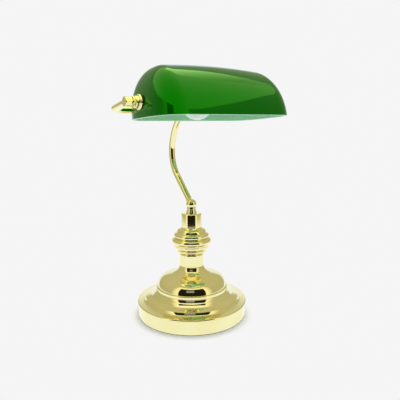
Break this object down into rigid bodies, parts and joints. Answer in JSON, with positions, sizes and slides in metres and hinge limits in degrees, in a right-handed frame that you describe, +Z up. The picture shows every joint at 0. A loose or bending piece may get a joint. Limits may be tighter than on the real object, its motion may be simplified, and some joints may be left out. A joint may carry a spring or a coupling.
{
  "type": "bankers lamp",
  "caption": "Desk lamp with a heavy round brass foot, a turned column, a bent arm on a ball knuckle, and a long green glass shade that tilts in a yoke.",
  "frame": {"origin": "centre of the felt under the foot, on the column's axis", "axes": "+Z up along the column, +X along the shade, -Y towards the user, where the shade reaches forward"},
  "size_m": [0.2596, 0.1986, 0.3781],
  "materials": {
    "polished_brass": "polished and lacquered",
    "cast_weight": "rough cast",
    "felt": "felt",
    "steel_hardware": "zinc plated",
    "black_rubber": "matt",
    "holder_plastic": "moulded",
    "holder_core": "glazed ceramic look",
    "opal_bulb": "opal",
    "green_cased_glass": "green cased over opal white, glossy"
  },
  "bodies": {
    "stand": {"base_shell": "polished_brass", "base_weight": "cast_weight", "felt_pad": "felt", "base_nut": "steel_hardware", "base_washer": "steel_hardware", "cord_grommet": "black_rubber", "threaded_rod": "steel_hardware", "column_sleeve": "polished_brass", "column_cup": "polished_brass", "column_cap": "polished_brass", "coupling_nut": "steel_hardware", "neck_collar": "polished_brass", "knuckle_lower": "polished_brass", "knuckle_screw": "polished_brass"},
    "arm": {"knuckle_upper": "polished_brass", "arm_tube": "polished_brass", "yoke_tee": "polished_brass", "yoke_tube_left": "polished_brass", "yoke_tube_right": "polished_brass", "end_block_left": "polished_brass", "end_block_right": "polished_brass", "nipple_left": "polished_brass", "nipple_right": "polished_brass", "lock_nut_left": "polished_brass", "lock_nut_right": "polished_brass", "spacer_bush_left": "polished_brass", "spacer_bush_right": "polished_brass", "inner_nut_left": "steel_hardware", "inner_nut_right": "steel_hardware", "lampholder_cap": "holder_plastic", "lampholder_body": "holder_plastic", "lampholder_core": "holder_core", "lampholder_contact": "polished_brass", "lampholder_thread": "polished_brass", "bulb_cap": "polished_brass", "bulb_glass": "opal_bulb"},
    "shade": {"outer_washer_left": "polished_brass", "outer_washer_right": "polished_brass", "glass_bush_left": "black_rubber", "glass_bush_right": "black_rubber", "inner_seal_left": "black_rubber", "inner_seal_right": "black_rubber", "inner_washer_left": "polished_brass", "inner_washer_right": "polished_brass", "glass_shade": "green_cased_glass"}
  },
  "joints": [
    {"name": "arm_tilt", "type": "hinge", "parent": "stand", "child": "arm", "pos_m": [0, 0, 0.1765], "axis": [1, 0, 0], "range_deg": [-25, 25]},
    {"name": "shade_tilt", "type": "hinge", "parent": "arm", "child": "shade", "pos_m": [0, -0.0475, 0.3273], "axis": [1, 0, 0], "range_deg": [-40, 40]}
  ]
}
